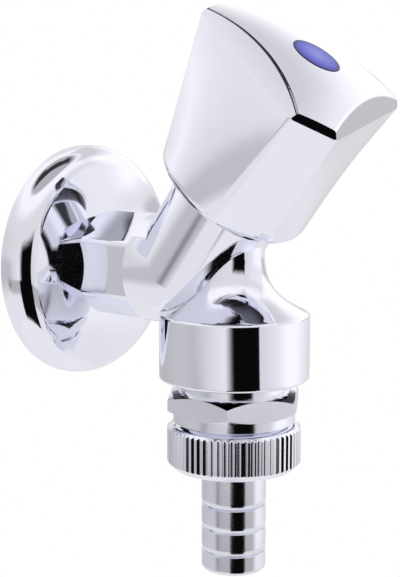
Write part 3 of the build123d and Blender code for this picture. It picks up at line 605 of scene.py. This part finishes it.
def blue_plastic():
    material, tree, shader, place = principled("blue_plastic")
    radius = vector_math(tree, "LENGTH", off_head_axis(tree, place), output="Value")
    outward = step_up(tree, radius, 0.0, BUTTON_RADIUS)
    # Painted highlight, pale in the middle, and painted shade of the recess, dark at the rim, over the
    # button's own blue.
    lens = tree.nodes.new("ShaderNodeValToRGB")
    lens.color_ramp.elements[0].color = (0.30, 0.315, 0.98, 1.0)
    lens.color_ramp.elements[1].position = 0.97
    lens.color_ramp.elements[1].color = (0.012, 0.012, 0.12, 1.0)
    body = lens.color_ramp.elements.new(0.82)
    body.color = (0.075, 0.080, 0.70, 1.0)
    tree.links.new(outward, lens.inputs["Fac"])
    mould = noise(tree, place, 1800.0, 2.0)
    dress(tree, shader, lens.outputs["Color"], between(tree, mould, 0.20, 0.30))
    shader.inputs["Specular IOR Level"].default_value = 0.18
    relief(tree, shader, mould, 0.02 * MM, 0.06)
    return material


rubber = black_rubber()
fibre = red_fibre()
plastic = white_plastic()
button_blue = blue_plastic()
print("Finishes:", rubber.name, fibre.name, plastic.name, button_blue.name)

# %% [markdown]
# The record names a slot for each node, so one loop dresses them all. The plated slot is split
# by how a piece was made, and the body's plate also carries painted shade on its underside. What material
# came with a CAD mesh is cleared first.

# %% Put the finishes on the nodes
finishes = {
    "chrome_plate": polished, "raw_brass": brass, "stainless_steel": steel, "black_rubber": rubber,
    "fibre": fibre, "white_plastic": plastic, "blue_plastic": button_blue,
}
made_or_shaded_otherwise = {
    "valve_body": body_plate_with_shade, "handle": cast, "outlet_nipple": turned, "union_nut": turned, "hose_tail": satin,
}
for subpart in frame["record"]["subparts"]:
    name = subpart["node"]
    finish = made_or_shaded_otherwise.get(name, finishes[subpart["material_slot"]])
    nodes[name].data.materials.clear()
    nodes[name].data.materials.append(finish)
print("Finishes on", len(nodes), "nodes")

# %% [markdown]
# ## Lathe pieces
# The hose tail and the union nut are turned from bar. A closed outline of radius and height
# is spun round the outlet's axis, which keeps the rings even, and edges over an angle stay
# sharp so that the chrome breaks there as a cut edge does.

# %% Helpers for turned pieces
def turn(outline, steps):
    """Spins a closed outline of (radius, height) in millimetres round the outlet."""
    bm = bmesh.new()
    points = [bm.verts.new(OUTLET + Vector((radius, 0.0, height)) * MM) for radius, height in outline]
    lines = [bm.edges.new(pair) for pair in zip(points, points[1:] + points[:1])]
    bmesh.ops.spin(
        bm, geom=points + lines, cent=OUTLET, axis=UP, angle=2 * pi, steps=steps, use_merge=True,
    )
    bmesh.ops.remove_doubles(bm, verts=bm.verts, dist=1e-7)
    bmesh.ops.recalc_face_normals(bm, faces=bm.faces)
    return bm


def keep_edges(bm, degrees):
    """Smooth faces that stay sharp along edges over an angle."""
    for face in bm.faces:
        face.smooth = True
    for edge in bm.edges:
        edge.smooth = edge.calc_face_angle(0.0) < radians(degrees)


def show(bm, name, finish, node):
    """Turns a bmesh into a piece that takes a CAD node's place and rides on its body."""
    mesh = bpy.data.meshes.new(name)
    bm.to_mesh(mesh)
    bm.free()
    mesh.materials.append(finish)
    piece = bpy.data.objects.new(name, mesh)
    scene.collection.objects.link(piece)
    even = piece.modifiers.new("even_shading", "WEIGHTED_NORMAL")
    even.mode = "FACE_AREA"
    even.weight = 100
    even.keep_sharp = True
    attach(piece, body_of(nodes[node])[0])
    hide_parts(node)
    return piece


# %% [markdown]
# The tail has a flange that the nut pulls on, a plain neck and three barbs. Each barb is a
# straight land that curls in towards the next one, so a hose slides on and can't slide off.
# The curl mirrors the table, which is why the black stripe breaks into short bars.

# %% Barbed hose tail
TAIL_END, TAIL_TOP = heights("hose_tail")
TAIL_R, TAIL_BORE_R, TAIL_FLANGE_R = 7.25, 5.0, 12.9
FLANGE_HEIGHT, FLANGE_CHAMFER, BORE_CHAMFER = 1.6, 0.2, 0.3
TAIL_NECK, BARB_PITCH, BARBS, BARB_CHAMFER = 10.0, 5.33, 3, 0.08
CURL_LENGTH, CURL_DEPTH, CURL_STEPS = 1.5, 0.42, 7
END_ROUND, END_CHAMFER = 1.1, 0.4
TAIL_STEPS = 128
FLANGE_FOOT = TAIL_TOP - FLANGE_HEIGHT

tail_outline = [
    (TAIL_BORE_R, TAIL_TOP - BORE_CHAMFER), (TAIL_BORE_R + BORE_CHAMFER, TAIL_TOP),
    (TAIL_FLANGE_R - FLANGE_CHAMFER, TAIL_TOP), (TAIL_FLANGE_R, TAIL_TOP - FLANGE_CHAMFER),
    (TAIL_FLANGE_R, FLANGE_FOOT + FLANGE_CHAMFER), (TAIL_FLANGE_R - FLANGE_CHAMFER, FLANGE_FOOT),
    (TAIL_R, FLANGE_FOOT),
]
for barb in range(BARBS):
    edge = FLANGE_FOOT - TAIL_NECK - barb * BARB_PITCH
    for step in range(CURL_STEPS + 1):
        share = step / CURL_STEPS
        inset = CURL_DEPTH * (1 - cos(share * pi / 2))
        tail_outline.append((TAIL_R - inset, edge + CURL_LENGTH * (1 - share)))
    tail_outline.append((TAIL_R - BARB_CHAMFER, edge))
    tail_outline.append((TAIL_R, edge - BARB_CHAMFER))
for step in range(CURL_STEPS + 1):
    bend = step / CURL_STEPS * pi / 2
    tail_outline.append((TAIL_R - END_ROUND * (1 - cos(bend)), TAIL_END + END_ROUND * (1 - sin(bend))))
tail_outline += [(TAIL_BORE_R + END_CHAMFER, TAIL_END), (TAIL_BORE_R, TAIL_END + END_CHAMFER)]
bm = turn(tail_outline, TAIL_STEPS)
keep_edges(bm, 32)
hose_tail = show(bm, "barbed_tail", satin, "hose_tail")
print("Tail faces:", len(hose_tail.data.polygons))

# %% [markdown]
# The nut has a straight knurl, which fingers grip: crowned ridges with grooves between them.
# The nut is spun plain, and then its outer ring is pressed in to the knurl wherever the knurl
# lies under the chamfers, so the ridges run out on them as on a knurl that is faced off later.

# %% Knurled union nut
NUT_FOOT, NUT_TOP = heights("union_nut")
NUT_R, NUT_LIP_R, NUT_BORE_R = 15.0, 7.75, 13.27
NUT_MOUTH_CHAMFER, LIP_CHAMFER, LIP_GAP = 0.4, 0.2, 0.05
TOP_CHAMFER, TOP_STEPS = 0.7, 8
FOOT_CHAMFER, FOOT_STEPS = 1.5, 12
RIDGES, RIDGE_STEPS, KNURL_DEPTH = 62, 10, 0.45
CROWN_DEPTH, CROWN_SHARE = 0.03, 0.2
BORE_SKIN = 0.5
LIP_TOP = FLANGE_FOOT - LIP_GAP


def knurl_radius(angle):
    """Radius of the knurl at an angle: a crowned ridge with a straight flank to each groove."""
    off_ridge = abs((angle / (2 * pi) * RIDGES + 0.5) % 1.0 - 0.5)
    crown = CROWN_DEPTH * min(off_ridge / CROWN_SHARE, 1.0) ** 2
    flank = max(off_ridge - CROWN_SHARE, 0.0) / (0.5 - CROWN_SHARE)
    return NUT_R - crown - (KNURL_DEPTH - CROWN_DEPTH) * flank


nut_outline = [
    (NUT_BORE_R, LIP_TOP), (NUT_BORE_R, NUT_TOP - NUT_MOUTH_CHAMFER),
    (NUT_BORE_R + NUT_MOUTH_CHAMFER, NUT_TOP),
]
for step in range(TOP_STEPS + 1):
    share = step / TOP_STEPS
    nut_outline.append((NUT_R - TOP_CHAMFER * (1 - share), NUT_TOP - TOP_CHAMFER * share))
for step in range(FOOT_STEPS + 1):
    share = step / FOOT_STEPS
    nut_outline.append((NUT_R - FOOT_CHAMFER * share, NUT_FOOT + FOOT_CHAMFER * (1 - share)))
nut_outline += [
    (NUT_LIP_R + LIP_CHAMFER, NUT_FOOT), (NUT_LIP_R, NUT_FOOT + LIP_CHAMFER), (NUT_LIP_R, LIP_TOP),
]
bm = turn(nut_outline, RIDGES * RIDGE_STEPS)
for vert in bm.verts:
    arm = vert.co - OUTLET
    arm.z = 0.0
    if arm.length > (NUT_BORE_R + BORE_SKIN) * MM:
        pressed = knurl_radius(atan2(arm.y, arm.x)) * MM
        if pressed < arm.length:
            vert.co += arm * (pressed / arm.length - 1)
bmesh.ops.recalc_face_normals(bm, faces=bm.faces)
keep_edges(bm, 30)
union_nut = show(bm, "knurled_nut", turned, "union_nut")
print("Nut faces:", len(union_nut.data.polygons))

# %% [markdown]
# ## Screw threads
# The body screws into the wall and the nut runs on the nipple, both on pipe thread of 14
# turns to the inch. A thread is a ridge on a helix, so its section is spun with a step along
# the axis. The CAD solids have a plain cylinder there. A merged copy of each solid is turned
# down to the root of the thread and gets the ridge.

# %% Helpers for threads
PITCH, THREAD_DEPTH, CREST_ROUND = 1.814 * MM, 1.162 * MM, 0.1 * MM
FOOT_SHARE, ROUND_SHARE, CREST_SHARE = 0.49, 0.13, 0.05
TURN_STEPS = 60
SLACK = 0.02 * MM


def merged(name):
    """A copy of a CAD node's mesh with its loose triangles joined."""
    bm = bmesh.new()
    bm.from_mesh(nodes[name].data)
    bmesh.ops.remove_doubles(bm, verts=bm.verts, dist=1e-6)
    return bm


def cut_thread(bm, start, along, length, crest):
    """Turns a cylinder down to the root of the thread and winds the ridge on it."""
    root = crest - THREAD_DEPTH
    for vert in bm.verts:
        reach = (vert.co - start).dot(along)
        arm = vert.co - start - along * reach
        if -SLACK < reach < length + SLACK and root < arm.length < crest + SLACK:
            vert.co = start + along * reach + arm.normalized() * root
    plain = set(bm.verts)
    side = along.orthogonal().normalized()
    flank = [(root, FOOT_SHARE), (crest - CREST_ROUND, ROUND_SHARE), (crest, CREST_SHARE)]
    section = [(radius, -share) for radius, share in flank] + flank[::-1]
    points = [bm.verts.new(start + side * radius + along * (share * PITCH)) for radius, share in section]
    lines = [bm.edges.new(pair) for pair in zip(points, points[1:])]
    turns = length / PITCH
    steps = int(turns * TURN_STEPS)
    bmesh.ops.spin(
        bm, geom=points + lines, cent=start, axis=along, dvec=along * (length / steps),
        angle=2 * pi * turns, steps=steps,
    )
    for vert in bm.verts:
        if vert not in plain:
            reach = (vert.co - start).dot(along)
            vert.co += along * (min(max(reach, 0.0), length) - reach)
    ridge = [face for face in bm.faces if not plain.intersection(face.verts)]
    bmesh.ops.recalc_face_normals(bm, faces=ridge)
    outward = ridge[len(ridge) // 2]
    reach = (outward.calc_center_median() - start).dot(along)
    arm = outward.calc_center_median() - start - along * reach
    if outward.normal.dot(arm) < 0:
        bmesh.ops.reverse_faces(bm, faces=ridge)
    return turns


# %% [markdown]
# The nipple's lower thread carries the union nut, and it comes into view when the hose end is
# drawn down. It starts under the nipple's collar and winds down to its foot.

# %% Nipple thread under the nut
NIPPLE_THREAD_LENGTH, NIPPLE_THREAD_R = 6.2 * MM, 13.22 * MM

collar_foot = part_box("outlet_nipple")[0].z + NIPPLE_THREAD_LENGTH
bm = merged("outlet_nipple")
turns = cut_thread(bm, OUTLET + UP * collar_foot, -UP, NIPPLE_THREAD_LENGTH, NIPPLE_THREAD_R)
keep_edges(bm, 30)
show(bm, "threaded_nipple", turned, "outlet_nipple")
print("Nipple thread turns:", round(turns, 2))

# %% [markdown]
# The wall thread starts at the body's end inside the wall and runs out behind the rosette.

# %% Wall thread behind the rosette
WALL_THREAD_LENGTH, WALL_THREAD_R = 18.0 * MM, 10.4775 * MM

body_end = OUT_OF_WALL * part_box("valve_body")[0].x
bm = merged("valve_body")
turns = cut_thread(bm, body_end, OUT_OF_WALL, WALL_THREAD_LENGTH, WALL_THREAD_R)
keep_edges(bm, 30)
show(bm, "threaded_body", body_plate_with_shade, "valve_body")
print("Wall thread turns:", round(turns, 2))

# %% [markdown]
# ## Closing spring
# The spring stands on the cage's guide and pushes the poppet up onto its seat. When water
# opens the poppet the coils come closer while the foot stays. A merged copy of the wire takes
# the spring's place, with a mesh of its own. Wire wound on a helix has no corners.

# %% Closing spring as a merged copy
bm = merged("check_spring")
keep_edges(bm, 60)
closing_spring = show(bm, "closing_spring", steel, "check_spring")
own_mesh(closing_spring)

# %% [markdown]
# ## Floor
# A plain pale disc stands in for the table, well below the hose tail. It glows for the lens
# and for the chrome that mirrors it, so that it stays pale, and for no other ray.

# %% Pale floor
FLOOR_DROP, FLOOR_RADIUS = 0.60, 0.5
FLOOR_GLOW = 0.7

bm = bmesh.new()
bmesh.ops.create_circle(bm, cap_ends=True, segments=64, radius=FLOOR_RADIUS)
bmesh.ops.translate(bm, verts=bm.verts, vec=VIEW_TARGET - UP * FLOOR_DROP)
floor_mesh = bpy.data.meshes.new("floor")
bm.to_mesh(floor_mesh)
bm.free()
floor_material, tree, shader, place = principled("pale_floor")
floor_tint = shades(tree, noise(tree, place, 6.0), (0.83, 0.83, 0.84), (0.87, 0.87, 0.88))
tree.links.new(floor_tint, shader.inputs["Base Color"])
shader.inputs["Roughness"].default_value = 0.9
floor_ray = tree.nodes.new("ShaderNodeLightPath")
shown = tree.nodes.new("ShaderNodeMath")
shown.operation = "MAXIMUM"
tree.links.new(floor_ray.outputs["Is Camera Ray"], shown.inputs[0])
tree.links.new(floor_ray.outputs["Is Glossy Ray"], shown.inputs[1])
glow = tree.nodes.new("ShaderNodeMath")
glow.operation = "MULTIPLY"
glow.inputs[1].default_value = FLOOR_GLOW
tree.links.new(shown.outputs[0], glow.inputs[0])
pale = tree.nodes.new("ShaderNodeEmission")
pale.inputs["Color"].default_value = (1.0, 1.0, 1.0, 1.0)
both = tree.nodes.new("ShaderNodeMixShader")
tree.links.new(glow.outputs[0], both.inputs["Fac"])
tree.links.new(shader.outputs["BSDF"], both.inputs[1])
tree.links.new(pale.outputs[0], both.inputs[2])
tree.links.new(both.outputs[0], tree.nodes["Material Output"].inputs["Surface"])
floor_mesh.materials.append(floor_material)
floor = bpy.data.objects.new("floor", floor_mesh)
scene.collection.objects.link(floor)
print("Floor", FLOOR_DROP, "m below the tap")
